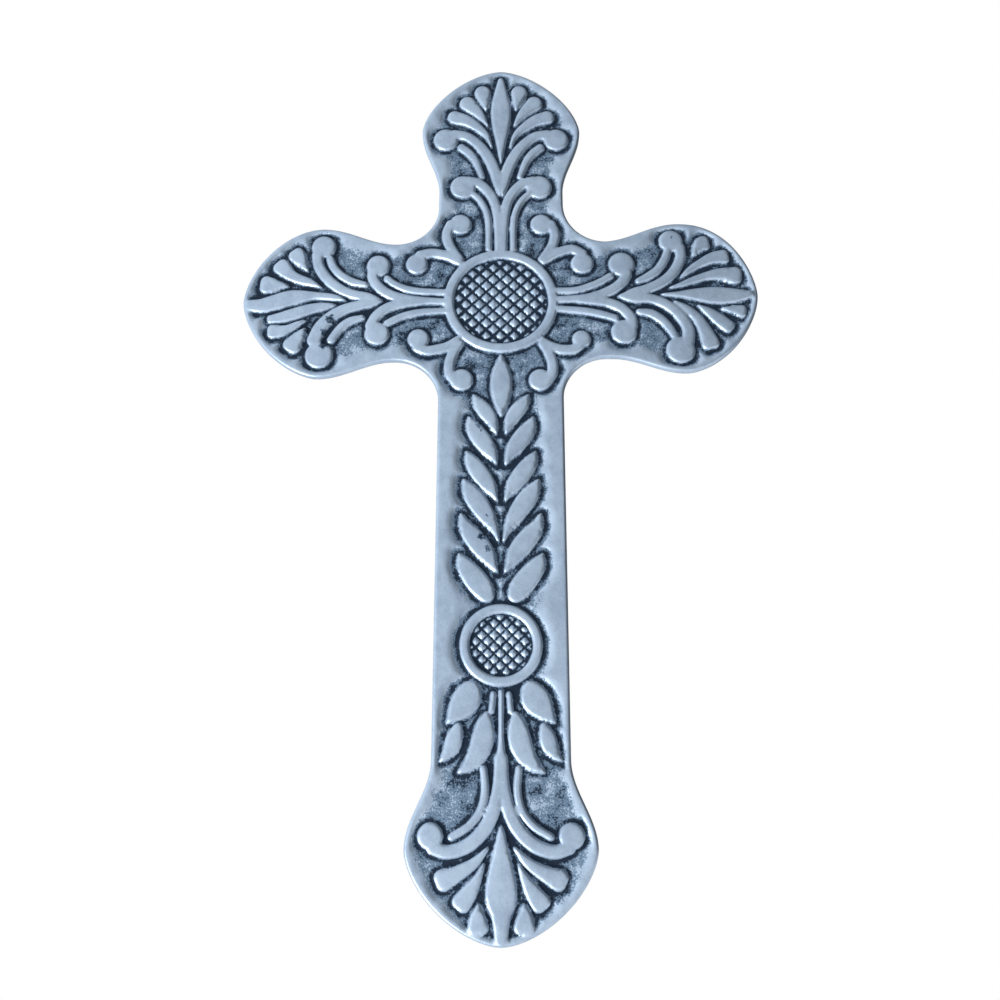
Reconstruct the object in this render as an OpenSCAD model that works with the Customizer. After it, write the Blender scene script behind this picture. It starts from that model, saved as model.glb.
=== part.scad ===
// Cast metal wall cross: one flat-backed casting with leaf, petal and scroll relief.
// The front faces -Y, the flat back lies in the plane Y = 0, +Z is up, and the origin is
// the mouth of the blind hanging hole in the back of the top arm, under its middle petal.

/* [Outline] */
// From the centre of the large ring to the tip of the top arm
top_reach = 141; // [120:1:175]
// From the centre of the large ring to the tip of each side arm
side_reach = 131; // [110:1:165]
// From the centre of the large ring to the tip of the foot
foot_reach = 304; // [250:1:370]
// Width of the top arm at its neck
arm_w = 65; // [56:1:76]
// Width of a side arm at its neck
side_w = 66.2; // [56:0.2:76]
// Width of the long shaft
shaft_w = 62; // [52:1:76]
// Width of an arm's end across its widest place
lobe_w = 84.5; // [72:0.5:102]
// From the widest place of an arm's end to its tip
lobe_tip_l = 39; // [32:1:48]
// Length over which an arm swells from its neck to its widest place
swell_l = 38; // [30:1:46]
// Radius of the inner corners between the arms
armpit_r = 22; // [12:1:27]
// Rise of the right arm, in degrees
right_rise = 1.8; // [0:0.1:4]
// Drop of the left arm, in degrees
left_drop = 0.2; // [0:0.1:4]

/* [Thickness] */
// Thickness of the plate at its plain margin
plate_t = 3.4; // [3:0.1:6]
// Width of the plain margin
margin_w = 6; // [4:0.5:8]
// Depth of the sunk ground below the margin
ground_sink = 0.9; // [0.5:0.1:1.1]
// Height of the relief above the ground
relief_h = 1.5; // [1.3:0.1:2.4]
// How far the scroll ends stand above the rest of the relief
ball_rise = 0.2; // [0.1:0.1:0.6]

/* [Rings] */
// Outside diameter of the large ring
ring_d = 58; // [48:1:62]
// Outside diameter of the small ring
small_ring_d = 38; // [31:1:46]
// Width of both ring bands
ring_w = 4.8; // [3:0.1:6]
// From the centre of the small ring to the tip of the foot
small_ring_up = 128; // [122:1:154]
// Depth of the lattice beds below the ground
bed_sink = 0.5; // [0.2:0.1:0.8]
// Height of the lattice studs above their bed
stud_h = 1.4; // [0.8:0.1:1.9]
// Spacing of the lattice studs
stud_pitch = 5; // [4.2:0.1:7]
// Side of a lattice stud
stud_w = 3.5; // [2:0.1:4]

/* [Scrolls] */
// Width of a scroll at its root
scroll_w = 5.2; // [4:0.1:6.5]
// Diameter of a scroll's round end
ball_d = 12.2; // [10:0.1:14.6]
// Width of a thin tendril
tendril_w = 3.4; // [2:0.1:4]
// Width of the hooks around the large ring
hook_w = 4.6; // [3:0.1:6]

/* [Leaves] */
// Spacing of the leaf pairs down the shaft
leaf_pitch = 16; // [13:0.5:20]
// Length of a shaft leaf
leaf_l = 25; // [20:0.5:30]
// Width of a shaft leaf
leaf_w = 7.2; // [5:0.1:9]
// Diameter of a petal's round head
petal_d = 8.6; // [6:0.1:10.5]

/* [Hanging hole] */
// Diameter of the blind hole for the head of a wall pin
hanger_d = 6; // [4:0.5:8]
// Depth of the blind hole
hanger_depth = 2.4; // [1.6:0.1:2.9]
// Height of the hole above the centre of the large ring
hanger_up = 112; // [106:1:118]

/* [Hidden] */
$fn = 48;
metal = [0.62, 0.65, 0.70];
ground_t = plate_t - ground_sink;
bed_t = ground_t - bed_sink;
relief_t = ground_t + relief_h;
root = 0.4;          // how deep the relief is rooted in the ground
ring_r = ring_d / 2;
small_ring_r = small_ring_d / 2;
small_ring_down = foot_reach - small_ring_up;
ball_bevel = 0.8;    // slope at the rim of a round scroll end
tip_margin = 1.3;    // the margin is this much wider at the tips
tip_power = 1.6;     // shape of the pointed arm ends: the more, the fuller
left_full = [1.85, 1.6];    // the same for the upper and lower edge of the left arm's end
right_full = [1.7, 2.3];    // and for the lower and upper edge of the right arm's end
tip_root = 0.6;
steps = 8;           // straight pieces along each curve

// ---- outline -------------------------------------------------------------

// Half width of an arm at the distance u from the ring centre, m inside its edge
function half_w(u, reach, neck, m, full) =
    let (wide = reach - lobe_tip_l,
         swell = max(0, min(1, (u - wide + swell_l) / swell_l)),
         end = max(0, min(1, (u - wide) / (lobe_tip_l - tip_margin * m))),
         neck_m = neck - m,
         lobe_m = lobe_w / 2 - m)
    u <= wide ? neck_m + (lobe_m - neck_m) * (1 - cos(180 * swell)) / 2
              : lobe_m * pow(1 - pow(end, full), tip_root);

// One edge of an arm from where its inner corner ends to its tip
function arm_edge(reach, neck, m, full) =
    let (wide = reach - lobe_tip_l,
         start = max(wide - swell_l, max(arm_w, side_w) / 2 + armpit_r + 2),
         end_l = lobe_tip_l - tip_margin * m)
    concat([for (i = [0 : steps]) let (u = start + (wide - start) * i / steps)
            [u, half_w(u, reach, neck, m, full)]],
           [for (i = [1 : 2 * steps]) let (u = wide + end_l * sin(90 * i / (2 * steps)))
            [u, half_w(u, reach, neck, m, full)]]);

function reversed(p) = [for (i = [len(p) - 1 : -1 : 0]) p[i]];
function flipped(p) = [for (q = p) [q.x, -q.y]];
function turned(p, a) = [for (q = p) [q.x * cos(a) - q.y * sin(a), q.x * sin(a) + q.y * cos(a)]];

// A whole arm along the direction a: one edge out to the tip, the other edge back
function arm(reach, neck, a, m, full = [tip_power, tip_power]) =
    let (out = arm_edge(reach, neck, m, full[0]), back = arm_edge(reach, neck, m, full[1]))
    turned(concat(flipped(out), reversed([for (i = [0 : len(back) - 2]) back[i]])), a);

// The rounded inner corner of one quarter, whose arms' edges lie at x and y
function armpit(quarter, x, y, m) =
    let (r = armpit_r + m,
         sx = (quarter == 0 || quarter == 3) ? 1 : -1,
         sy = quarter < 2 ? 1 : -1)
    [for (i = [0 : steps]) let (a = (quarter % 2 == 0 ? i : steps - i) * 90 / steps)
     [sx * (x - m + r - r * sin(a)), sy * (y - m + r - r * cos(a))]];

// The plate's outline, m inside its edge
module outline(m) {
    neck = arm_w / 2;
    side = side_w / 2;
    shaft = shaft_w / 2;
    rise = (neck + armpit_r) * sin(right_rise);
    drop = (neck + armpit_r) * sin(left_drop);
    polygon(concat(
        arm(side_reach, side, right_rise, m, right_full),
        armpit(0, neck, side + rise, m),
        arm(top_reach, neck, 90, m),
        armpit(1, neck, side - drop, m),
        arm(side_reach, side, 180 + left_drop, m, left_full),
        armpit(2, shaft, side + drop, m),
        arm(foot_reach, shaft, 270, m),
        armpit(3, shaft, side - rise, m)));
}

// ---- curves --------------------------------------------------------------

// A point of the curve that starts at p[0], ends at p[3] and leans to p[1] and p[2]
function bend(p, t) = pow(1 - t, 3) * p[0] + 3 * t * pow(1 - t, 2) * p[1]
                    + 3 * t * t * (1 - t) * p[2] + pow(t, 3) * p[3];
function run(p, t) = let (d = bend(p, t + 0.01) - bend(p, t - 0.01)) d / norm(d);
function aside(p, t, w) = let (d = run(p, t)) bend(p, t) + w * [-d.y, d.x];

// A band along a curve, w0 wide at its start and w1 at its end
module band(p, w0, w1) {
    polygon([for (side = [1, -1], i = [0 : steps])
             let (k = side > 0 ? i : steps - i, t = k / steps, w = w0 + (w1 - w0) * t)
             aside(p, t, side * w / 2)]);
}

// A leaf or bud from point a to point b, w wide, its broad place at the share s of its length
module leaf(a, b, w, s = 0.5) {
    l = norm(b - a);
    d = (b - a) / l;
    n = [-d.y, d.x];
    fall = ln(0.5) / ln(s);
    polygon([for (side = [1, -1], i = [0 : steps - 1])
             let (k = side > 0 ? i : steps - i, t = k / steps)
             a + d * l * t + n * side * w / 2 * sin(180 * pow(t, fall))]);
}

// A petal: a pointed root at a and a round head about b
module petal(a, b, d = petal_d) {
    l = norm(b - a);
    lean = acos(d / 2 / l);
    aim = atan2(a.y - b.y, a.x - b.x);
    translate(b) circle(d = d);
    polygon([a, b + d / 2 * [cos(aim - lean), sin(aim - lean)],
             b, b + d / 2 * [cos(aim + lean), sin(aim + lean)]]);
}

module both_sides() {
    children();
    mirror([0, 1]) children();
}

// ---- relief, in the plane of the front -----------------------------------
// An arm's tiers are drawn along +X from the ring centre.

// Round ends of the outer scrolls stand this far back from an arm's tip and off its axis
curl_back = 40.5;
curl_out = 31;
// Roots and heads of one side's petals: distance back from the tip, distance off the axis
petals = [[[32, 15.5], [26, 25.5]], [[40, 7], [17.5, 19.5]], [[30, 5.5], [10.5, 9.5]]];

// Middle places of the round scroll ends along an arm that reaches out to the given distance
function outer_ball(reach) = [reach - curl_back, curl_out];
function inner_ball(shift) = [62.5 + shift, 19.5];

// The scrolls and tendrils next to the large ring
module inner_tier(shift) {
    both_sides() {
        band([[ring_r - 1, 1.4], [50 + shift, 1.6], [67 + shift, 5], [66 + shift, 17]],
             scroll_w * 0.7, scroll_w);
        translate(inner_ball(shift)) circle(d = ball_d);
        band([[ring_r - 1, 5.8], [42 + shift, 5.6], [51 + shift, 7.5], [58 + shift, 13.5]],
             tendril_w, tendril_w);
    }
}

// The scrolls, tendrils and petals that fill an arm's end
module outer_tier(reach) {
    both_sides() {
        band([[reach - 69, 1], [reach - 50, 3], [reach - 37, 11], [reach - 36.5, 27]],
             scroll_w, scroll_w);
        translate(outer_ball(reach)) circle(d = ball_d);
        band([[reach - 62, 8.5], [reach - 53, 10.5], [reach - 46, 15], [reach - 43.5, 24.5]],
             tendril_w, tendril_w * 1.2);
        for (p = petals) petal([reach - p[0].x, p[0].y], [reach - p[1].x, p[1].y]);
    }
    leaf([reach - 54, 0], [reach - 2, 0], petal_d * 1.15, 0.55);
}

// Two hooks in each corner between the arms
module hooks() {
    for (quarter = [0 : 3], swap = [0, 1])
        rotate(90 * quarter) mirror([swap, -swap]) {
            band([[19, 20], [27, 27.5], [36, 29.5], [43, 26.5]], hook_w, hook_w);
            translate([42.3, 21.4]) circle(d = ball_d * 0.88);
        }
}

module ring(d) {
    difference() {
        circle(d = d, $fn = 96);
        circle(d = d - 2 * ring_w, $fn = 96);
    }
}

// Pairs of leaves down the shaft, as many as the space between the rings takes
module garland() {
    first = ring_r + 44;
    pairs = floor((small_ring_down - small_ring_r - first) / leaf_pitch) + 1;
    leaf([0, -ring_r - 3], [0, -ring_r - 36], 10.4, 0.45);
    for (i = [0 : pairs - 1], side = [1, -1]) {
        lean = 29 + 1.3 * i;
        foot = [side * 2.2, -first - i * leaf_pitch];
        leaf(foot, foot + leaf_l * [side * sin(lean), cos(lean)], leaf_w, 0.55);
    }
}

// Leaves and stem that hang from the small ring
module drooping_leaves() {
    z = -small_ring_down;
    for (side = [1, -1]) {
        leaf([side * 9.5, z - 15], [side * 24.5, z - 36], 10, 0.42);
        leaf([side * 5.5, z - 30], [side * 18.5, z - 57], 9.5, 0.45);
        leaf([side * 18.8, z - 35], [side * 27, z - 52.5], 6.8, 0.4);
    }
    leaf([0, z - small_ring_r + 1], [0, z - 68], 7.5, 0.5);
}

module relief() {
    ring(ring_d);
    translate([0, -small_ring_down]) ring(small_ring_d);
    hooks();
    rotate(right_rise) { inner_tier(0); outer_tier(side_reach); }
    rotate(90) { inner_tier(4); outer_tier(top_reach); }
    rotate(180 + left_drop) { inner_tier(0); outer_tier(side_reach); }
    rotate(270) outer_tier(foot_reach);
    garland();
    drooping_leaves();
}

// A round scroll end with a bevelled rim, a little proud of the band it ends
module ball(d) {
    top = relief_t + ball_rise;
    rotate_extrude()
        polygon([[0, ground_t], [d / 2, ground_t], [d / 2, top - ball_bevel],
                 [d / 2 - ball_bevel, top], [0, top]]);
}

module tier_balls(reach, inner, shift) {
    for (side = [1, -1]) {
        at = outer_ball(reach);
        translate([at.x, side * at.y, 0]) ball(ball_d - 0.2);
        near = inner_ball(shift);
        if (inner) translate([near.x, side * near.y, 0]) ball(ball_d - 0.2);
    }
}

// Diamond studs that fill a ring
module studs(d) {
    free_r = d / 2 - ring_w - stud_w * 0.8;
    n = ceil(free_r / stud_pitch);
    rotate(45)
        for (i = [-n : n], j = [-n : n])
            if (norm([i, j]) * stud_pitch < free_r)
                translate([i, j] * stud_pitch) square(stud_w, center = true);
}

// ---- the casting ---------------------------------------------------------

// Stands the flat drawing up: its face looks along -Y and its back lies in Y = 0
module upright() {
    translate([0, 0, -hanger_up]) rotate([90, 0, 0]) children();
}

module plate() {
    difference() {
        linear_extrude(plate_t) outline(0);
        translate([0, 0, ground_t]) linear_extrude(plate_t) outline(margin_w);
    }
}

module bed(d) {
    translate([0, 0, bed_t]) cylinder(h = plate_t, d = d - 2 * ring_w, $fn = 96);
}

module cross() {
    color(metal) upright() difference() {
        union() {
            difference() {
                plate();
                bed(ring_d);
                translate([0, -small_ring_down, 0]) bed(small_ring_d);
            }
            translate([0, 0, ground_t - root]) linear_extrude(relief_h + root) relief();
            translate([0, 0, bed_t - root / 2]) linear_extrude(stud_h + root / 2) {
                studs(ring_d);
                translate([0, -small_ring_down]) studs(small_ring_d);
            }
            rotate(right_rise) tier_balls(side_reach, true, 0);
            rotate(90) tier_balls(top_reach, true, 4);
            rotate(180 + left_drop) tier_balls(side_reach, true, 0);
            rotate(270) tier_balls(foot_reach, false, 0);
        }
        translate([0, hanger_up, -1]) cylinder(h = hanger_depth + 1, d = hanger_d);
    }
}

cross();
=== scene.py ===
import math

import bpy
import numpy as np
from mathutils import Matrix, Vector
from mathutils.geometry import delaunay_2d_cdt


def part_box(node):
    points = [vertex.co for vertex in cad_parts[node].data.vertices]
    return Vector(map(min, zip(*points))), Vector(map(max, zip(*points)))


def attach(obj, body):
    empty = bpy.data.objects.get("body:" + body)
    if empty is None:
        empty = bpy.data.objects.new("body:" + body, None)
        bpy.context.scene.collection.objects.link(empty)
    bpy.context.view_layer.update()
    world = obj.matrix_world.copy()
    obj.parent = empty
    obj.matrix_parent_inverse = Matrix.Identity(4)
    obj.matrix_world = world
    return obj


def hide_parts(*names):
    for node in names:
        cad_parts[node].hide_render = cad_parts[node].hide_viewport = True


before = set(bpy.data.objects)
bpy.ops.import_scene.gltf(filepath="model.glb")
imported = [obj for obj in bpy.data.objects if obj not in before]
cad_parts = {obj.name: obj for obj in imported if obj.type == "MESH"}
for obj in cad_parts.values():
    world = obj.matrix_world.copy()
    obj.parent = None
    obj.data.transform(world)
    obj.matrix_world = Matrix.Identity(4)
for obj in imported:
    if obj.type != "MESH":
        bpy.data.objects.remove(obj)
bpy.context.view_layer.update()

# The cross is one casting. Its front is drawn flat, in millimetres, with X to the right, Z up
# and the centre of the large ring at 0, 0. Heights are measured forwards from the flat back.
MM = 0.001
LOW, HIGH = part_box("cross")

# ---- outline of the plate ---------------------------------------------------

TOP_REACH = 141.0                                    # large ring to the top tip
FOOT_REACH = (HIGH.z - LOW.z) / MM - TOP_REACH
SIDE_REACH = 131.0
ARM_HALF = 32.5                                      # half width of the top arm's neck
SIDE_HALF = 33.1                                     # half width of a side arm's neck
SHAFT_HALF = 31.0
LOBE_HALF = 42.2                                     # half width of an arm's end
LOBE_TIP = 39.0                                      # widest place to the tip
SWELL = 38.0                                         # neck to the widest place
ARMPIT = 22.0                                        # radius of the inner corners
RIGHT_RISE = 1.8                                     # tilt of the side arms, in degrees
LEFT_DROP = 0.2
TIP_ROOT = 0.6                                       # shape of the pointed ends
FULL, LEFT_FULL, RIGHT_FULL = (1.6, 1.6), (1.85, 1.6), (1.7, 2.3)
RING_PLACE = HIGH.z - TOP_REACH * MM                 # height of the large ring in the frame

# ---- section of the relief --------------------------------------------------

RELIEF_TOP = -LOW.y / MM - 0.12                      # flat of the strokes
MARGIN_TOP = 3.35                                    # plain margin of the plate
FIELD = 2.5                                          # ground between the strokes
GROOVE = 1.95                                        # bottom of the groove round every stroke
GROOVE_W = 0.9                                       # level width of that groove
GROOVE_RISE = 2.2                                    # from there up to the ground
MARGIN_SLOPE = 2.6                                   # so much gentler next to the plain margin
MARGIN_IN, MARGIN_OUT = 10.5, 5.5                    # ground rises to the margin between these
SHAFT_MARGIN = 4.2                                   # the margin is this much wider on the shaft
SHAFT_FROM, SHAFT_TO = 46.0, 208.0                   # which lies so far below the large ring
FOOT_MARGIN = 3.4                                    # and it is this much narrower on the foot
FOOT_FROM = 196.0                                    # from here down
ZONE_FADE = 12.0                                     # length over which the margin changes
RIM_W, RIM_FADE = 2.2, 1.4                           # the margin is kept at least this wide
RIM_ROUND, RIM_FALL = 1.2, 0.9                       # rounding of the plate's front edge
SPREAD = 0.22                                        # strokes are cast this much wider on each side
WALL_IN, WALL_OUT = 0.30, 0.36                       # a stroke's steep side, each way of its edge
SHOULDER, SHOULDER_DROP = 1.2, 0.36                  # rounding along a stroke's edge
CROWN = 0.03                                         # a stroke's crown for each mm of half width
THIN, THIN_DROP = 0.8, 0.5                           # strokes taper off below this half width
THINNEST = 0.4                                       # and are rounded as if at least this
BACK_ROUND = 0.4                                     # rounding of the plate's back edge

RING_R, RING_W = 26.5, 5.0                           # middle of a ring's band, and its width
SMALL_R, SMALL_W, SMALL_DOWN = 16.8, 4.4, 176.0      # and how far below the large ring it lies
BED, BED_CROWN = 1.75, 0.5                           # lattice bed: its level and its swell
STUD_PITCH, STUD_HALF, STUD_H = 5.0, 1.85, 1.25
STUD_PLACE = (-0.4, 1.8)                             # the middle stud, from the ring's centre
STUD_WALL = 0.5                                      # width of a stud's side
STUD_CROWN = 0.45                                    # share of a stud's height lost at its edge
STUD_SHRINK = 0.24                                   # studs are this much smaller at the ring
SMALL_PITCH = 0.8                                    # the small ring's lattice against the large one's
BED_EDGE = 1.1                                       # studs stop this far inside the ring

# How stained the metal is, 0 to 1, and where it is rubbed bare
GROOVE_STAIN, GROOVE_UNEVEN = 0.90, 0.14
FIELD_STAIN, FIELD_LEAST, FIELD_MOST = 0.50, 0.25, 0.85
BARE_OUT, BARE_SOFT = 0.42, 0.4                      # rubbed bare from this far outside a stroke
STUD_RUBBED = 0.93

# ---- strokes ----------------------------------------------------------------
# Each stroke is a row of places (x, z, width) that a smooth line runs through.
# A single place is a round scroll end. The petals of the side arms and the foot end squarely,
# everything else ends round.

TOP_ARM = [
    [(-1.2, 27, 3.6), (-1.5, 42, 3.8), (-2.2, 52, 4.4), (-4, 59.5, 4.8), (-7.5, 65.3, 5),
     (-12, 69.4, 5), (-17, 70.6, 5.4)],
    [(-20, 67, 13)],
    [(-6.3, 30, 2.8), (-6.5, 45, 3), (-8, 53, 3), (-11, 59, 3), (-15, 63.2, 2.8)],
    [(-0.8, 62.5, 1.2), (-1.6, 68, 4), (-3, 76, 5.6), (-7, 86, 5.6), (-12.3, 93.6, 5.2),
     (-18.5, 98.6, 4.9), (-25, 99.8, 5.2)],
    [(-29.5, 96.5, 12.6)],
    [(-10, 73.5, 2.6), (-13.3, 82.5, 3.6), (-16.8, 87.8, 4.2), (-21, 91.4, 4.1)],
]
TOP_PETALS = [
    [(-8.1, 115.8, 0.8), (-8.9, 121, 4.8), (-9.9, 126.6, 8.4)],
    [(-7.3, 105.8, 0.8), (-11.3, 112.3, 4.6), (-15.6, 117.2, 7.2), (-18, 119.6, 8.4)],
    [(-5, 92, 0.8), (-7.8, 99.2, 3), (-12.2, 104, 4.6), (-18.6, 108.7, 6.2), (-24.8, 110.7, 7.6)],
]
TOP_AXIS = [
    [(0, 82.5, 0.6), (0, 90, 3.2), (0, 97, 5.8), (0, 104, 8.4), (0, 110, 10), (0, 115.5, 10.4),
     (0, 121, 9.2), (0, 126.5, 6.6), (0, 131, 4.6), (0, 134.5, 3)],
]
LEFT_ARM = [
    [(-28, -0.6, 3.2), (-40, 0, 3.8), (-50, 1.3, 4.6), (-57, 3.8, 4.8), (-62.3, 7.8, 4.9),
     (-65.6, 13.2, 5), (-65.3, 18, 5.5)],
    [(-63, 20, 11.4)],
    [(-40, -0.6, 3.4), (-50, -1.6, 4.4), (-57.5, -4, 4.8), (-63, -8.6, 5), (-65.6, -14, 5.4)],
    [(-62.5, -18.5, 12)],
    [(-28, 4.7, 3), (-40, 5.2, 3.4), (-48, 6.6, 3.4), (-54, 9.2, 3.4), (-58.2, 12.6, 3.2)],
    [(-28, -5.8, 3), (-40, -6.5, 3.3), (-48, -8.2, 3.3), (-53, -10.3, 3.3), (-57.6, -12.9, 3.2)],
    [(-60.5, 0.2, 0.6), (-64, 1.1, 2.6), (-68, 2.2, 4.2), (-76, 3.8, 4.6), (-83, 7.3, 4.9),
     (-89.3, 13, 5), (-93.6, 20, 5), (-94.6, 26.5, 5.4)],
    [(-91.5, 31, 12)],
    [(-60.5, -0.1, 0.6), (-64, -1.1, 2.6), (-68, -2.1, 4.2), (-74, -3.2, 5), (-80, -5.3, 5.4),
     (-86, -9.3, 6), (-91, -15, 6.4), (-93.8, -22, 7)],
    [(-91, -30.5, 13.6)],
    [(-69.3, 9.2, 2.6), (-76, 10.9, 3.8), (-82, 14.6, 3.8), (-86, 19.2, 3.8), (-88, 24, 3.6)],
    [(-70.2, -9.6, 2.6), (-76, -11.5, 3.8), (-81, -15.5, 3.9), (-85.3, -22, 3.8)],
    [(-79, 0.1, 0.6), (-85, 1.85, 3.1), (-94, 2.75, 3.8), (-103, 2.3, 6.9), (-108, 1.3, 8.3),
     (-114, -0.7, 8.2), (-121.5, -2.8, 7.2), (-126.6, -2.8, 6)],
]
LEFT_PETALS = [
    [(-99.2, 17, 0.6), (-101.8, 21.2, 4.2), (-104.3, 25, 7.6), (-105.2, 26.2, 8.2)],
    [(-91.7, 7.5, 0.6), (-97.5, 10.4, 3.6), (-103, 12.2, 4.8), (-108, 14.8, 5.8),
     (-112.6, 19.4, 8.4)],
    [(-108.4, 8.3, 0.6), (-113.6, 8.7, 4.4), (-119.2, 9.1, 9.2)],
    [(-84.3, -2.4, 0.8), (-90, -3.3, 3.8), (-97, -4.8, 5.2), (-105, -7.5, 5.8),
     (-111, -9.5, 5.4), (-116.3, -10.6, 4.2)],
    [(-98.3, -11.2, 0.6), (-102.5, -13.2, 2.6), (-107, -15.8, 4), (-111, -17.2, 6),
     (-114.6, -17.4, 7.2)],
    [(-98.8, -15.8, 0.8), (-101, -19.4, 5), (-103.4, -23.2, 8), (-104.6, -25, 9)],
]
RIGHT_ARM = [
    [(28, 0.7, 3.2), (38, 1, 3.8), (46, 2, 4.6), (53.5, 4.7, 5), (60, 8.8, 5), (64, 14, 5),
     (64, 18.5, 5.4)],
    [(62, 21, 13)],
    [(40, 0.4, 3.4), (48, -0.1, 4.4), (55, -1.2, 4.8), (61.3, -4.4, 5), (65.6, -9.4, 5.2),
     (66, -14, 5.6)],
    [(62, -17.5, 12.6)],
    [(28, 5.7, 3), (38, 6, 3.3), (45, 8.2, 3.3), (51, 11, 3.3), (56, 14.2, 3.2)],
    [(28, -4.5, 3), (42, -5.8, 3.5), (50, -7.4, 3.5), (57.8, -9.8, 3.3)],
    [(59.5, 2.4, 0.6), (63.5, 3.4, 2.6), (68, 4.9, 4.4), (75, 6.9, 4.8), (83, 11.2, 5),
     (88.8, 17, 5), (92.4, 24.5, 5), (92.4, 30.5, 5.4)],
    [(88, 34.5, 12)],
    [(59.5, 2.2, 0.6), (63.5, 1.6, 2.6), (68, 1.2, 4.2), (76, 1.2, 4.8), (84, -2.2, 5),
     (90.6, -8.4, 5.4), (94.4, -16, 5.6), (94, -22.5, 6)],
    [(90, -27.5, 14)],
    [(70.3, 11.3, 2.8), (76, 14.3, 4), (81, 18.5, 4), (84.4, 24, 4), (85.9, 28.3, 3.6)],
    [(70, -6.2, 2.8), (76, -7.3, 4.2), (81.5, -11, 4.2), (85, -15.5, 4.1), (87.2, -19.6, 3.6)],
    [(81.5, 3.5, 0.6), (90, 3.6, 2.8), (98, 3.6, 5.8), (107.5, 3.1, 9), (117, 2.9, 8),
     (124.5, 3.4, 5), (126.8, 3.8, 3.4)],
]
RIGHT_PETALS = [
    [(98.8, 25.8, 0.8), (101.2, 30, 4.6), (103.8, 32.8, 7.4), (104.6, 33.2, 8)],
    [(92, 13.4, 0.6), (97, 17.8, 3), (103, 21.8, 4.2), (109, 24.6, 6), (114.4, 25.4, 7.4)],
    [(86, 7.2, 0.6), (92, 9.1, 2.4), (98, 11.6, 3.4), (105, 14, 4.2), (112, 15.2, 6.2),
     (119.5, 14.5, 9.4)],
    [(112, -4.5, 0.8), (117, -5.1, 3.8), (121.6, -6, 6.6)],
    [(100, -2.8, 0.8), (105.3, -6.4, 4.4), (110.2, -10.6, 6.2), (114.6, -14.4, 6.6)],
    [(88.2, -0.4, 0.8), (94, -4.4, 3.6), (99, -9.6, 5), (102.6, -16.4, 6.4), (105, -23.4, 8.6)],
]
LEFT_HOOKS = [
    [(-21, 22, 3.5), (-25.5, 25, 4.6), (-30, 26.6, 4.8), (-36, 27.4, 4.8), (-41.5, 26, 5.2)],
    [(-43.3, 21, 10.6)],
    [(-22, -22, 3.5), (-26.5, -25.5, 4.6), (-31, -27, 4.8), (-37, -27.9, 4.8), (-41.8, -26, 5)],
    [(-41.5, -21.5, 10.4)],
]
RIGHT_HOOKS = [
    [(22, 23, 3.5), (26.5, 26.4, 4.6), (31, 28.5, 4.8), (37, 29.7, 4.8), (42, 27, 5)],
    [(41.8, 21.5, 11.2)],
    [(21, -22.5, 3.5), (25.5, -25.7, 4.6), (31, -27.3, 4.8), (37, -26.8, 4.8), (40.6, -23.6, 5)],
    [(40.5, -21.5, 9)],
]
UPRIGHT_HOOKS = [
    [(-21, 24, 3.5), (-24.2, 28, 4.4), (-27, 33, 4.8), (-28, 39, 4.8), (-26, 44.2, 5.2)],
    [(-21, 44.5, 11)],
    [(-20.5, -24, 3.5), (-23.8, -29, 4.6), (-25.6, -34.5, 4.8), (-25.5, -40, 4.8),
     (-22.8, -44.2, 5)],
    [(-19.5, -43.8, 11)],
]
GARLAND = [
    [(-13.7, -52, 0.8), (-11, -56.2, 5.4), (-7.8, -60.6, 7.2), (-4.6, -65.6, 5.6),
     (-2.3, -72.6, 0.6)],
    [(-15.8, -64, 1), (-13.6, -69.3, 6.6), (-10.2, -74.5, 8.6), (-6.4, -80, 7.4),
     (-3.6, -84.6, 3.6), (-2.2, -88.6, 0.6)],
    [(-16.7, -82, 1), (-14.2, -86.8, 6.2), (-10.8, -92, 8.2), (-6.6, -98, 7.2),
     (-3.6, -103, 3.4), (-1.9, -107, 0.6)],
    [(-18, -96.4, 1), (-14.6, -102.4, 7.4), (-10.8, -108.2, 9), (-6.4, -115, 7.2),
     (-2.9, -121.6, 3), (-1.2, -127, 0.6)],
    [(-19, -113.6, 1), (-16.8, -119.6, 6), (-12.4, -125.6, 9), (-7.6, -132, 8.4),
     (-3.8, -138.4, 3.6), (-1.6, -142, 0.6)],
    [(-19.6, -133.4, 1.2), (-17, -138.4, 7.2), (-12.6, -144.4, 10), (-8.6, -149.6, 9.6),
     (-6.8, -152.6, 7)],
]
GARLAND_AXIS = [
    [(0, -31, 1.5), (0, -40, 8.6), (0, -47, 10.4), (0, -55, 7.4), (0, -63, 1.2)],
]
DROOPING = [
    [(-13.4, -194, 2.6), (-13.8, -197, 9), (-15.8, -201, 12.4), (-19.2, -205.4, 8.6),
     (-24, -211, 0.8)],
    [(-3.6, -198.3, 2.1), (-3.9, -202, 2.3), (-4.3, -205.8, 2.3)],
    [(-6.6, -207, 1.6), (-7.2, -211.6, 7), (-8, -217.4, 9.6), (-9.8, -223.2, 9),
     (-13.6, -228.8, 6), (-19, -232.6, 0.8)],
    [(-19.2, -213, 3.6), (-20.6, -217.2, 6.8), (-22, -221.8, 6.6), (-24.4, -225.4, 3.6),
     (-27, -227.7, 0.8)],
]
FOOT = [
    [(-7.8, -231, 2.6), (-7.1, -240, 3), (-9, -248.5, 3), (-14, -255, 3), (-21.5, -259.7, 2.8)],
    [(-1.2, -226, 3), (-1.5, -238, 4), (-3.4, -248.6, 5.4), (-7.8, -257, 5.6),
     (-14.6, -263.2, 5.6), (-22.8, -265.8, 5.4), (-29.4, -264.2, 5.2)],
    [(-30.7, -259.3, 10.8)],
]
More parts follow.
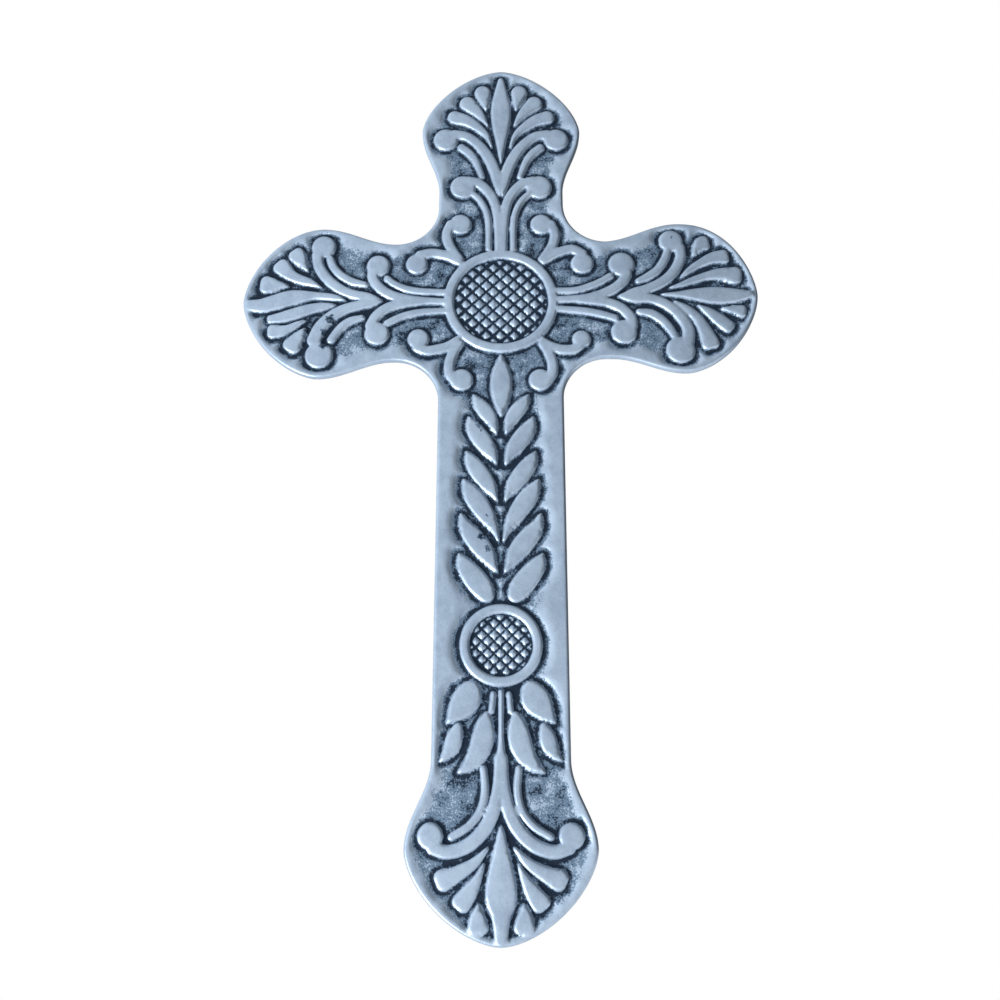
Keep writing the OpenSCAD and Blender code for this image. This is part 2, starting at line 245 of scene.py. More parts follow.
FOOT_PETALS = [
    [(-5.8, -264.2, 0.8), (-11.8, -270.4, 4), (-18.8, -274.6, 6), (-24.6, -277.2, 8.6)],
    [(-7.5, -271, 0.8), (-10.6, -277.4, 3.8), (-14.2, -283, 6.8), (-16.7, -286.2, 8)],
    [(-9.6, -287, 0.8), (-10, -291.4, 5.4), (-9.8, -295.6, 8.4)],
]
FOOT_AXIS = [
    [(0, -197.5, 2), (0, -208, 1.9), (0, -218, 2), (0, -226, 4)],
    [(0, -255, 0.6), (0, -258.5, 3), (0, -262.5, 4.8), (0, -272, 9.6), (0, -278, 12),
     (0, -284.4, 13), (0, -290.6, 8.4), (0, -297, 5.8), (0, -301, 5.2)],
]

# Dark chips in the high metal: (x, z, radius)
CHIPS = [(-86.3, -11, 2.2), (-88.3, -18.3, 2.0), (-89.2, -21.8, 1.0), (-88.6, -25.3, 2.2),
         (-97.2, -16.6, 1.7), (-98.2, -20.4, 1.2), (-98.9, -24.2, 1.2), (-9.4, -124.4, 1.7),
         (-6.2, -130.8, 1.6), (-11.4, -68.4, 0.9), (-9.6, -71.2, 0.7), (-23, -52, 0.8),
         (-7, -114, 0.7), (-12.5, 118.6, 0.8), (88.5, 36.5, 0.7)]
CHIP_SOFT, CHIP_DEEP, CHIP_STAIN = 1.0, 0.05, 0.74   # their edge, their depth, their stain
CHIP_RAGGED = 0.85


def mirrored(strokes):
    """The same strokes on the other side of the shaft's axis."""
    return [[(-x, z, w) for x, z, w in stroke] for stroke in strokes]


STROKES = (LEFT_ARM + LEFT_HOOKS + RIGHT_ARM + RIGHT_HOOKS + TOP_AXIS + GARLAND_AXIS + FOOT_AXIS
           + TOP_ARM + TOP_PETALS + UPRIGHT_HOOKS + GARLAND + DROOPING + FOOT
           + mirrored(TOP_ARM + TOP_PETALS + UPRIGHT_HOOKS + GARLAND + DROOPING + FOOT))
PETALS = LEFT_PETALS + RIGHT_PETALS + FOOT_PETALS + mirrored(FOOT_PETALS)
RINGS = [(0.0, 0.0, RING_R, RING_W), (0.0, -SMALL_DOWN, SMALL_R, SMALL_W)]
SQUARE, CORNER = 0.80, 0.68                          # a petal's end, in half widths: length, rounding
EDGE_STEP = 0.75                                     # spacing of points round rings and round ends


# ---- drawing ----------------------------------------------------------------

def ease(t):
    """0 to 1 with a soft start and end."""
    t = np.clip(t, 0, 1)
    return t * t * (3 - 2 * t)


def smooth_line(places, gap=0.9):
    """Places along a smooth line through the given ones, about a gap apart."""
    p = np.array(places, float)
    if len(p) == 1:
        return p
    p = np.vstack([2 * p[0] - p[1], p, 2 * p[-1] - p[-2]])
    out = []
    for a, b, c, d in zip(p[:-3], p[1:-2], p[2:-1], p[3:]):
        n = max(2, int(np.hypot(*(c - b)[:2]) / gap))
        for t in np.arange(n) / n:
            out.append(0.5 * (2 * b + (c - a) * t + (2 * a - 5 * b + 4 * c - d) * t ** 2
                              + (3 * b - 3 * c + d - a) * t ** 3))
    out.append(p[-2])
    out = np.array(out)
    out[:, 2] = np.maximum(out[:, 2], 0.4)
    return out


def square_end(r, off):
    """Points round a squared end, seen along the stroke; r is its half width."""
    wide, long = r + off, SQUARE * r + off
    corner = max(CORNER * r + off, 0.15)
    flank = np.arange(0, max(long - corner, 0), 0.6)
    bow = np.linspace(0, math.pi / 2, 2 + int(corner / 0.4))
    top = np.concatenate([flank, long - corner + corner * np.sin(bow)])
    side = np.concatenate([np.full(len(flank), wide), wide - corner + corner * np.cos(bow)])
    face = np.arange(0, max(wide - corner, 0), 0.6)
    top = np.concatenate([top, np.full(len(face), long)])
    side = np.concatenate([side, face])
    return np.vstack([np.stack([top, side], 1), np.stack([top, -side], 1)])


def edge_loop(line, square, off):
    """Points at the distance off outside a stroke's edge, right round it."""
    r = line[:, 2] / 2 + off
    if len(line) == 1:
        a = np.arange(0, 2 * math.pi, EDGE_STEP / max(r[0], 0.5))
        return line[0, :2] + r[0] * np.stack([np.cos(a), np.sin(a)], 1)
    d = np.gradient(line[:, :2], axis=0)
    d /= np.linalg.norm(d, axis=1)[:, None]
    n = np.stack([-d[:, 1], d[:, 0]], 1)
    keep = r > 0.12
    sides = [(line[:, :2] + s * n * r[:, None])[keep] for s in (1, -1)]
    caps = []
    for i, s in ((0, -1), (-1, 1)):
        if square and i == -1:
            caps.append(line[i, :2] + square_end(r[i] - off, off) @ np.stack([d[i], n[i]]))
        elif r[i] > 0.3:
            start = math.atan2(s * d[i, 1], s * d[i, 0])
            steps = 3 + int(math.pi * r[i] / EDGE_STEP)
            turn = np.linspace(-math.pi / 2, math.pi / 2, steps)[1:-1]
            caps.append(line[i, :2] + r[i] * np.stack([np.cos(start + turn),
                                                      np.sin(start + turn)], 1))
    return np.vstack(sides + caps)


def half_width(u, reach, neck, full):
    """Half width of an arm at the distances u from the large ring's centre."""
    wide = reach - LOBE_TIP
    swell = np.clip((u - wide + SWELL) / SWELL, 0, 1)
    end = np.clip((u - wide) / LOBE_TIP, 0, 1)
    body = neck + (LOBE_HALF - neck) * (1 - np.cos(math.pi * swell)) / 2
    return np.where(u <= wide, body, LOBE_HALF * (1 - end ** full) ** TIP_ROOT)


def arm_outline(reach, neck, turn, full):
    """An arm's edge out to its tip and back, turned from the +X direction."""
    wide = reach - LOBE_TIP
    start = max(wide - SWELL, SIDE_HALF + ARMPIT + 2)
    u = np.concatenate([np.linspace(start, wide, 40, endpoint=False),
                        wide + LOBE_TIP * np.sin(np.linspace(0, math.pi / 2, 60))])
    out, back = (half_width(u, reach, neck, power) for power in full)
    p = np.vstack([np.stack([u, -out], 1), np.stack([u, back], 1)[-2::-1]])
    a = math.radians(turn)
    return p @ np.array([[math.cos(a), math.sin(a)], [-math.sin(a), math.cos(a)]])


def armpit(quarter, x, z):
    """The rounded inner corner of a quarter whose arms' edges lie at x and z."""
    a = np.linspace(0, math.pi / 2, 40)
    if quarter % 2:
        a = a[::-1]
    sx = 1 if quarter in (0, 3) else -1
    sz = 1 if quarter < 2 else -1
    return np.stack([sx * (x + ARMPIT * (1 - np.sin(a))), sz * (z + ARMPIT * (1 - np.cos(a)))], 1)


def even_loop(p, gap):
    """The closed line p with points the same gap apart."""
    q = np.vstack([p, p[:1]])
    s = np.concatenate([[0], np.cumsum(np.hypot(*np.diff(q, axis=0).T))])
    t = np.linspace(0, s[-1], int(s[-1] / gap), endpoint=False)
    return np.stack([np.interp(t, s, q[:, 0]), np.interp(t, s, q[:, 1])], 1)


def plate_outline(gap):
    """The plate's edge, anticlockwise from the right arm."""
    rise = (ARM_HALF + ARMPIT) * math.sin(math.radians(RIGHT_RISE))
    drop = (ARM_HALF + ARMPIT) * math.sin(math.radians(LEFT_DROP))
    return even_loop(np.vstack([
        arm_outline(SIDE_REACH, SIDE_HALF, RIGHT_RISE, RIGHT_FULL),
        armpit(0, ARM_HALF, SIDE_HALF + rise),
        arm_outline(TOP_REACH, ARM_HALF, 90, FULL),
        armpit(1, ARM_HALF, SIDE_HALF - drop),
        arm_outline(SIDE_REACH, SIDE_HALF, 180 + LEFT_DROP, LEFT_FULL),
        armpit(2, SHAFT_HALF, SIDE_HALF + drop),
        arm_outline(FOOT_REACH, SHAFT_HALF, 270, FULL),
        armpit(3, SHAFT_HALF, SIDE_HALF - rise)]), gap)


def inset(loop, depth):
    """The loop moved inwards; it runs anticlockwise."""
    d = np.roll(loop, -1, axis=0) - np.roll(loop, 1, axis=0)
    d /= np.linalg.norm(d, axis=1)[:, None]
    return loop + depth * np.stack([-d[:, 1], d[:, 0]], 1)


# ---- distances --------------------------------------------------------------

def past_end(p, line):
    """How far points lie beyond a squared end's last place, and their distance to its edge."""
    along = line[-1, :2] - line[-2, :2]
    along /= np.linalg.norm(along)
    r = line[-1, 2] / 2
    q = p - line[-1, :2]
    ahead = q @ along
    a = ahead - (SQUARE - CORNER) * r
    b = np.abs(q @ np.array([-along[1], along[0]])) - (1 - CORNER) * r
    outside = np.hypot(np.maximum(a, 0), np.maximum(b, 0)) + np.minimum(np.maximum(a, b), 0)
    return ahead, outside - CORNER * r


def to_line(p, line, square):
    """Distance from points to a stroke's edge, below 0 inside, and its half width there."""
    r = line[:, 2] / 2
    if len(line) == 1:
        return np.hypot(*(p - line[0, :2]).T) - r[0], np.full(len(p), r[0])
    a, b = line[:-1, :2], line[1:, :2]
    ab = b - a
    best = np.full(len(p), 1e9)
    half = np.zeros(len(p))
    for k in range(len(a)):
        t = np.clip(((p - a[k]) @ ab[k]) / (ab[k] @ ab[k]), 0, 1)
        h = r[k] + (r[k + 1] - r[k]) * t
        d = np.hypot(*(p - a[k] - t[:, None] * ab[k]).T) - h
        near = d < best
        best[near], half[near] = d[near], h[near]
    if square:
        ahead, flat = past_end(p, line)
        beyond = (ahead > 0) & (ahead < 3 * r[-1]) & near
        best[beyond] = flat[beyond]
    return best, half


def to_outline(p, loop):
    """Distance from points inside the plate to its edge, 12 mm at most."""
    best = np.full(len(p), 12.0)
    order = np.argsort(p[:, 1])
    rows = p[order, 1]
    ends = np.roll(loop, -1, axis=0)
    for a, b in zip(loop, ends):
        lo = np.searchsorted(rows, min(a[1], b[1]) - 12)
        hi = np.searchsorted(rows, max(a[1], b[1]) + 12)
        i = order[lo:hi]
        ab = b - a
        t = np.clip(((p[i] - a) @ ab) / (ab @ ab), 0, 1)
        best[i] = np.minimum(best[i], np.hypot(*(p[i] - a - t[:, None] * ab).T))
    return best


REACH = 6.0                                          # how far a stroke acts on the ground


def stroke_distances(p, lines):
    """For every stroke near some of the points: their numbers, distances and half widths."""
    found = []
    for line, square in lines:
        w = line[:, 2].max() / 2 + REACH
        lo, hi = line[:, :2].min(0) - w, line[:, :2].max(0) + w
        i = np.nonzero(((p > lo) & (p < hi)).all(1))[0]
        if len(i):
            d, half = to_line(p[i], line, square)
            found.append((i, d, half))
    for x, z, r, w in RINGS:
        far = np.hypot(p[:, 0] - x, p[:, 1] - z)
        i = np.nonzero(far < r + w + REACH)[0]
        found.append((i, np.abs(far[i] - r) - w / 2, np.full(len(i), w / 2)))
    return found


def nearest(p, found):
    """Distance from each point to the nearest stroke's edge, REACH at most."""
    best = np.full(len(p), REACH)
    for i, d, _ in found:
        best[i] = np.minimum(best[i], d)
    return best


NO_STUD = 9.0                                        # a distance past every stud


def lattice(p):
    """Distance to the nearest stud's edge, the bed's height, and which points a ring holds."""
    d = np.full(len(p), NO_STUD)
    bed = np.full(len(p), BED)
    inside = np.zeros(len(p), bool)
    for x, z, r, w in RINGS:
        q = p - (x, z)
        far = np.hypot(*q.T)
        hole = far < r - w / 2
        turned = ((q - STUD_PLACE) @ np.array([[1, -1], [1, 1]])) / math.sqrt(2)
        share = 1 if r == RING_R else SMALL_PITCH
        pitch = STUD_PITCH * share
        cell = np.abs(turned - pitch * np.round(turned / pitch)).max(1)
        half = STUD_HALF * share * (1 - STUD_SHRINK * ease((far / r - 0.5) / 0.4))
        stud = np.where(far < r - w / 2 - BED_EDGE, cell - half, NO_STUD)
        d[hole] = stud[hole]
        bed[hole] = BED + BED_CROWN * (1 - (far[hole] / r) ** 2)
        inside |= hole
    return d, bed, inside


def wobble(p, size, seed):
    """Soft uneven waves, mostly between -1 and 1 and about size millimetres long."""
    rng = np.random.default_rng(seed)
    total = np.zeros(len(p))
    for _ in range(7):
        a, phase = rng.uniform(0, 2 * math.pi, 2)
        k = 2 * math.pi / size * rng.uniform(0.6, 1.5)
        total += np.sin(p @ (k * np.array([math.cos(a), math.sin(a)])) + phase)
    return total / 4


# ---- relief -----------------------------------------------------------------

def plain_margin(p, edge):
    """How much of the plain margin each point has, 0 to 1."""
    down = -p[:, 1]
    shaft = ease((down - SHAFT_FROM) / ZONE_FADE) * ease((SHAFT_TO - down) / ZONE_FADE)
    foot = ease((down - FOOT_FROM) / ZONE_FADE)
    width = MARGIN_OUT + SHAFT_MARGIN * shaft - FOOT_MARGIN * foot - 0.8 * wobble(p, 11, 3)
    return 1 - ease((edge - width) / (MARGIN_IN - MARGIN_OUT))


def sunk_ground(p, d, edge):
    """The ground between the strokes: its height and its stain."""
    plain = plain_margin(p, edge)
    field = FIELD + (MARGIN_TOP - FIELD) * plain
    slope = GROOVE_RISE + MARGIN_SLOPE * plain
    ground = GROOVE + (field - GROOVE) * ease((d - GROOVE_W) / slope)
    ragged = 0.35 * wobble(p, 6, 5) - 0.2
    groove = 1 - ease((d - GROOVE_W + ragged) / ((GROOVE_RISE + slope) / 2))
    groove *= GROOVE_STAIN + GROOVE_UNEVEN * wobble(p, 8, 6)
    worn = FIELD_STAIN + 0.20 * wobble(p, 13, 8) + 0.08 * wobble(p, 5, 9)
    worn = np.clip(worn, FIELD_LEAST, FIELD_MOST) * (1 - plain)
    stain = np.clip(np.maximum(groove, worn), 0, 1)
    rim = 1 - ease((edge - RIM_W) / RIM_FADE)
    return ground + (MARGIN_TOP - ground) * rim, stain * (1 - rim)


def raise_strokes(height, ground, found):
    """Stand the strokes on the ground, and say where they are rubbed bare."""
    bare = np.zeros(len(height))
    for i, d, half in found:
        thin = ease(half / THIN)
        shoulder = 1 - np.clip(-d / np.clip(half, THINNEST, SHOULDER), 0, 1)
        swell = 1 - np.clip(-d / np.maximum(half, THINNEST), 0, 1)
        top = RELIEF_TOP - SHOULDER_DROP * shoulder ** 2 - CROWN * half * swell ** 2
        top = top - THIN_DROP * (1 - thin)
        wall = ease((WALL_OUT - d) / (WALL_IN + WALL_OUT)) * thin
        height[i] = np.maximum(height[i], ground[i] + (top - ground[i]) * wall)
        bare[i] = np.maximum(bare[i], ease((BARE_OUT - d) / BARE_SOFT) * thin)
    return bare


def raise_studs(height, bare, stud, bed, inside):
    """The same for the lattice studs inside the rings."""
    wall = ease((STUD_WALL / 2 - stud) / STUD_WALL)
    rise = STUD_H * (1 - STUD_CROWN * np.clip(1 + stud / STUD_HALF, 0, 1) ** 1.5)
    height = np.where(inside, np.maximum(height, bed + rise * wall), height)
    rubbed = STUD_RUBBED * ease((0.25 - stud) / 0.35)
    return height, np.where(inside, np.maximum(bare, rubbed), bare)


def relief(p, lines, loop):
    """Height of the front at each point, and how deep in a recess it lies, 0 to 1."""
    found = stroke_distances(p, lines)
    edge = to_outline(p, loop)
    ground, recess = sunk_ground(p, nearest(p, found), edge)
    stud, bed, inside = lattice(p)
    ground = np.where(inside, bed, ground)
    recess = np.where(inside, 1, recess)
    height = ground.copy()
    bare = raise_strokes(height, ground, found)
    height, bare = raise_studs(height, bare, stud, bed, inside)
    height += 0.02 * wobble(p, 17, 11) + 0.012 * wobble(p, 5, 12) - 0.02
    rim = np.clip(1 - edge / RIM_ROUND, 0, 1)
    height -= RIM_ROUND * (1 - np.sqrt(1 - rim ** 2)) * RIM_FALL
    recess = recess * (1 - bare)
    for x, z, r in CHIPS:
        far = np.hypot(p[:, 0] - x, p[:, 1] - z) + CHIP_RAGGED * wobble(p, 2.0, 33)
        chip = ease((r + CHIP_SOFT / 2 - far) / CHIP_SOFT)
        height -= CHIP_DEEP * chip
        recess = np.maximum(recess, CHIP_STAIN * chip)
    return height, recess


class Scatter:
    """Points that keep a distance from each other; the first ones stay."""

    def __init__(self, cell):
        self.cell = cell
        self.cells = {}
        self.points = []

    def crowded(self, i, j, x, z, gap):
        """Whether a point stands nearer than the gap; i, j is the cell of x, z."""
        reach = int(math.ceil(gap / self.cell))
        for a in range(i - reach, i + reach + 1):
            for b in range(j - reach, j + reach + 1):
                for other in self.cells.get((a, b), ()):
                    if (other[0] - x) ** 2 + (other[1] - z) ** 2 < gap * gap:
                        return True
        return False

    def add(self, points, gap):
        for x, z in points:
            i, j = int(math.floor(x / self.cell)), int(math.floor(z / self.cell))
            if not self.crowded(i, j, x, z, gap):
                self.cells.setdefault((i, j), []).append((x, z))
                self.points.append((x, z))


def hex_grid(low, high, gap):
    """Points all over a rectangle, in staggered rows."""
    z = np.arange(low[1], high[1], gap * math.sqrt(3) / 2)
    x = np.arange(low[0], high[0], gap)
    gx, gz = np.meshgrid(x, z)
    gx = gx + (np.arange(len(z)) % 2)[:, None] * gap / 2
    return np.stack([gx.ravel(), gz.ravel()], 1)


def inside_loop(p, loop):
    """Which points lie inside the closed line."""
    hit = np.zeros(len(p), bool)
    for (x0, z0), (x1, z1) in zip(loop, np.roll(loop, -1, axis=0)):
        span = (p[:, 1] < z0) != (p[:, 1] < z1)
        if z1 != z0:
            hit ^= span & (p[:, 0] < x0 + (p[:, 1] - z0) * (x1 - x0) / (z1 - z0))
    return hit


def triangles(rim, points):
    """Triangles between the rim's loop and the points inside it."""
    verts = [Vector(p) for p in np.vstack([rim, points])]
    out = delaunay_2d_cdt(verts, [], [list(range(len(rim)))], 1, 1e-5)
    return np.array([tuple(v) for v in out[0]]), [tuple(f) for f in out[2]]


# ---- the casting ------------------------------------------------------------

FINE, COARSE = 0.95, 1.7                             # spacing of points near strokes, far from them
NEAR = 4.5                                           # points stay fine this far from a stroke
CLOSEST = 0.72                                       # points keep this share of their spacing apart
EDGE_ROWS = (                                        # rows along every stroke: place, closest
    (-WALL_IN, 0.5), (WALL_OUT, 0.5), (-WALL_IN - 0.75, 0.62), (WALL_OUT + 0.8, 0.62))
BED_STEP, BED_CLOSEST = 0.62, 0.55                   # spacing of points in the lattice
RIM_STEP, BACK_STEP = 0.9, 3.0                       # spacing of points on the rim and the back
RIM_ROWS = (0.22, 0.62, 1.15, 1.9, 2.8)              # rows of points this far inside the rim
WALL_ROWS = (0.75, 0.5, 0.25)                        # rows down the side, as shares of its height
SAG = 0.05                                           # hollow of the back; further in, about twice this
HANGER_R, HANGER_DEPTH = 3.0, 2.4
AS_CAST = 0.24                                       # how stained the unrubbed back is


def in_frame(p, forward):
    """Flat drawing places and heights off the back, as places in the frame in metres."""
    return np.stack([p[:, 0] * MM, -forward * MM, RING_PLACE + p[:, 1] * MM], 1)


def front_points(lines, loop):
    """Places for the front's corners: along the rim, along every stroke's edge, then all over."""
    made = Scatter(1.0)
    made.add(loop, 0)
    for depth in RIM_ROWS:
        ring = inset(loop, depth)
        made.add(ring[to_outline(ring, loop) > depth * 0.93], 0.42)
    for off, closest in EDGE_ROWS:
        edges = [edge_loop(line, square, off) for line, square in lines]
        for x, z, r, w in RINGS:
            for side in (1, -1):
                a = np.arange(0, 2 * math.pi, EDGE_STEP / r)
                q = r + side * (w / 2 + off)
                edges.append(np.stack([x + q * np.cos(a), z + q * np.sin(a)], 1))
        p = np.vstack(edges)
        p = p[inside_loop(p, loop)]
        p = p[to_outline(p, loop) > 1.0]
        p = p[np.abs(nearest(p, stroke_distances(p, lines)) - off) < 0.08]
        made.add(p, closest)
    for x, z, r, w in RINGS:
        bed = hex_grid((-r, -r), (r, r), BED_STEP)
        bed = bed[np.hypot(*bed.T) < r - w / 2 - WALL_OUT - 0.3]
        made.add(bed + (x, z), BED_CLOSEST)
    for gap in (FINE, COARSE):
        p = hex_grid(loop.min(0), loop.max(0), gap)
        p = p[inside_loop(p, loop)]
        if gap == FINE:
            p = p[nearest(p, stroke_distances(p, lines)) < NEAR]
        made.add(p, gap * CLOSEST)
    return np.array(made.points)[len(loop):]


def mesh_object(name, verts, faces):
    mesh = bpy.data.meshes.new(name)
    mesh.from_pydata([tuple(v) for v in verts], [], faces)
    mesh.update()
    obj = bpy.data.objects.new(name, mesh)
    bpy.context.scene.collection.objects.link(obj)
    return obj


def only(obj):
    """Select this object and nothing else."""
    bpy.ops.object.select_all(action="DESELECT")
    obj.select_set(True)
    bpy.context.view_layer.objects.active = obj


def side_faces(starts, rim):
    """Quads from each loop of the side to the next; starts holds their first corners."""
    faces = []
    for a, b in zip(starts[:-1], starts[1:]):
        for i in range(rim):
            j = (i + 1) % rim
            faces.append((a + i, a + j, b + j, b + i))
    return faces


def stroke_lines():
    """Every stroke as a smooth line, and whether it ends squarely."""
    lines = [(smooth_line(stroke), False) for stroke in STROKES]
    lines += [(smooth_line(petal), True) for petal in PETALS]
    for line, _ in lines:
        line[:, 2] += 2 * SPREAD
    return lines


def make_cross():
    """The whole casting as one closed mesh: its carved front, its side and its back."""
    lines = stroke_lines()
    loop = plate_outline(RIM_STEP)
    points, front = triangles(loop, front_points(lines, loop))
    height, recess = relief(points, lines, loop)
    rim = len(loop)
    side_top = height[:rim]
    inner = hex_grid(loop.min(0), loop.max(0), BACK_STEP)
    inner = inner[inside_loop(inner, loop)]
    inner = inner[to_outline(inner, loop) > 2.0]
    back_points, back = triangles(inset(loop, BACK_ROUND), inner)
    sag = SAG * (1 + (1 + wobble(back_points, 30, 21)) * ease(to_outline(back_points, loop) / 6))
    rows = [in_frame(points, height)]
    for share in WALL_ROWS:
        rows.append(in_frame(loop, BACK_ROUND + (side_top - BACK_ROUND) * share))
    rows.append(in_frame(loop, np.full(rim, BACK_ROUND)))
    rows.append(in_frame(inset(loop, BACK_ROUND * 0.3), np.full(rim, BACK_ROUND * 0.3)))
    starts = [0] + [len(points) + rim * k for k in range(len(rows))]
    rows.append(in_frame(back_points, sag))
    faces = [f[::-1] for f in front] + side_faces(starts, rim)
    faces += [tuple(v + starts[-1] for v in f) for f in back]
    verts = np.vstack(rows)
    cross = mesh_object("cast_cross", verts, faces)
    marks = np.zeros(len(verts))
    marks[:len(points)] = recess
    marks[starts[-1]:] = AS_CAST
    attribute = cross.data.attributes.new("recess", "FLOAT", "POINT")
    attribute.data.foreach_set("value", marks.astype(np.float32))
    only(cross)
    bpy.ops.object.mode_set(mode="EDIT")
    bpy.ops.mesh.select_all(action="SELECT")
    bpy.ops.mesh.normals_make_consistent(inside=False)
    bpy.ops.object.mode_set(mode="OBJECT")
    return cross


def sink_hanger_hole(cross):
    """The blind hole in the back that a wall pin's head fits."""
    bpy.ops.object.select_all(action="DESELECT")
    bpy.ops.mesh.primitive_cylinder_add(vertices=48, radius=HANGER_R * MM,
                                        depth=2 * HANGER_DEPTH * MM, location=(0, 0, 0),
                                        rotation=(math.pi / 2, 0, 0))
    drill = bpy.context.object
    only(drill)
    bpy.ops.object.transform_apply(location=False, rotation=True, scale=False)
    only(cross)
    cut = cross.modifiers.new("hanger hole", "BOOLEAN")
    cut.operation = "DIFFERENCE"
    cut.solver = "MANIFOLD"
    cut.object = drill
    bpy.ops.object.modifier_apply(modifier=cut.name)
    bpy.data.objects.remove(drill)


# ---- finish -----------------------------------------------------------------

class Wire:
    """A node socket that takes part in plain arithmetic. A socket's keyword is its name with
    _ for each space, or n and its number where names repeat."""

    tree = None

    def __init__(self, socket):
        self.socket = socket

    @classmethod
    def node(cls, kind, settings=None, out=0, **values):
        made = cls.tree.nodes.new(kind)
        for key, value in (settings or {}).items():
            if key == "stops":
                ramp = made.color_ramp.elements
                while len(ramp) < len(value):
                    ramp.new(0.5)
                for stop, (place, colour) in zip(ramp, value):
                    stop.position, stop.color = place, (*colour, 1)
            else:
                setattr(made, key, value)
        for key, value in values.items():
            numbered = key[0] == "n" and key[1:].isdigit()
            socket = made.inputs[int(key[1:]) if numbered else key.replace("_", " ")]
            if isinstance(value, Wire):
                cls.tree.links.new(value.socket, socket)
            else:
                socket.default_value = value
        return cls(made.outputs[out]) if len(made.outputs) else made

    def math(self, operation, other=None, swap=False, third=None):
        a, b = (other, self) if swap else (self, other)
        values = {"n0": a}
        if b is not None:
            values["n1"] = b
        if third is not None:
            values["n2"] = third
        return Wire.node("ShaderNodeMath", {"operation": operation}, **values)

    def __add__(self, other):
        return self.math("ADD", other)

    def __radd__(self, other):
        return self.math("ADD", other, swap=True)

    def __sub__(self, other):
        return self.math("SUBTRACT", other)

    def __rsub__(self, other):
        return self.math("SUBTRACT", other, swap=True)

    def __mul__(self, other):
        return self.math("MULTIPLY", other)

    def __rmul__(self, other):
        return self.math("MULTIPLY", other, swap=True)

    def between(self, low, high):
        """0 below low, 1 above high, a soft step between."""
        return Wire.node("ShaderNodeMapRange", {"interpolation_type": "SMOOTHSTEP"},
                         Value=self, From_Min=low, From_Max=high)


def grain(place, size, detail=2.0, rough=0.55):
    """Noise whose blobs are about the given size in millimetres."""
    return Wire.node("ShaderNodeTexNoise", {"noise_dimensions": "3D"}, Vector=place,
                     Scale=1 / (size * MM), Detail=detail, Roughness=rough)


def blend_colours(share, first, second):
    """The first colour where share is 0, the second where it is 1."""
    made = Wire.tree.nodes.new("ShaderNodeMix")
    made.data_type = "RGBA"
    for socket, value in ((made.inputs[0], share), (made.inputs[6], first), (made.inputs[7], second)):
        if isinstance(value, Wire):
            Wire.tree.links.new(value.socket, socket)
        else:
            socket.default_value = value
    return Wire(made.outputs[2])


BRIGHT = (0.50, 0.62, 0.77, 1)                       # rubbed metal
DULL = (0.40, 0.505, 0.65, 1)                        # the same, handled less
SLATE = (0.17, 0.255, 0.365, 1)                      # antiquing worn thin
STAIN = (0.016, 0.031, 0.058, 1)                     # antiquing in the grooves
SPECK, PATCH, CLOUD = 0.75, 5.0, 28.0                # sizes of the finish's marks, in millimetres
CAST_SKIN = ((0.7, 3.0, 0.55), (3.0, 2.0, 1.1), (9.0, 2.0, 2.0))    # bumps: size, detail, height
SKIN_DEPTH = 0.15 * MM


def cast_metal():
    """Bright metal, with dark antiquing wherever the recess attribute is high."""
    made = bpy.data.materials.new("antiqued cast metal")
    made.use_nodes = True
    tree = made.node_tree
    tree.nodes.clear()
    Wire.tree = tree
    place = Wire.node("ShaderNodeTexCoord", out=3)
    recess = Wire.node("ShaderNodeAttribute", {"attribute_name": "recess"}, out=2)
    speck = grain(place, SPECK, 3.0, 0.6)
    patch = grain(place, PATCH, 3.0, 0.6)
    cloud = grain(place, CLOUD)
    depth = recess + (speck - 0.5) * 1.3 + (patch - 0.5) * 0.8
    dirt = depth.between(0.27, 0.43) * recess.between(0.04, 0.16)
    stain = blend_colours(depth.between(0.58, 0.76), SLATE, STAIN)
    dulled = cloud + (patch - 0.5) * 0.9 + (speck - 0.5) * 0.8
    metal = blend_colours(dulled.between(0.25, 0.8), BRIGHT, DULL)
    bump = speck * dirt * 0.8
    for size, detail, high in CAST_SKIN:
        bump = bump + grain(place, size, detail) * high
    normal = Wire.node("ShaderNodeBump", Strength=0.5, Distance=SKIN_DEPTH, Height=bump)
    shader = Wire.node("ShaderNodeBsdfPrincipled", Base_Color=blend_colours(dirt, metal, stain),
                       Roughness=0.43 + (patch - 0.5) * 0.2 + dirt * 0.2,
                       Metallic=0.92 - dirt * 0.6, Specular_IOR_Level=0.22, Normal=normal)
    Wire.node("ShaderNodeOutputMaterial", Surface=shader)
    return made


# ---- stage ------------------------------------------------------------------

LENS = 37.8
LOOK_UP = 17.88                                      # the camera looks up by this, in degrees
CAMERA = (-0.5, 479.9, -260.3)                       # right, forward of the back, above the ring
BRIGHT_SIDE = (-0.96, -0.27, -0.05)                  # the room is brightest this way
ROOM_LIGHT, ROOM_FALL = 0.55, 1.2
ROOM_LEAST, ROOM_MOST = 0.12, 1.15
KEY_PLACE, KEY_SIZE, KEY_POWER = (-0.85, -0.6, -1.0), 0.75, 11.0
KEY_AIM = -0.06                                      # the key points this far above the ring
FLOOR_DROP = 0.9                                     # the cross hangs this high above the floor
FLOOR_SIZE, FLOOR_PAINT, FLOOR_GLOW = 12.0, 0.9, 0.97


def place_camera():
    """The camera stands in front, low down, and looks up at the cross."""
    data = bpy.data.cameras.new("camera")
    data.lens, data.sensor_width = LENS, 36
    camera = bpy.data.objects.new("camera", data)
    camera.location = (CAMERA[0] * MM, -CAMERA[1] * MM, RING_PLACE + CAMERA[2] * MM)
    camera.rotation_euler = (math.radians(90 + LOOK_UP), 0, 0)
    bpy.context.scene.collection.objects.link(camera)
    bpy.context.scene.camera = camera


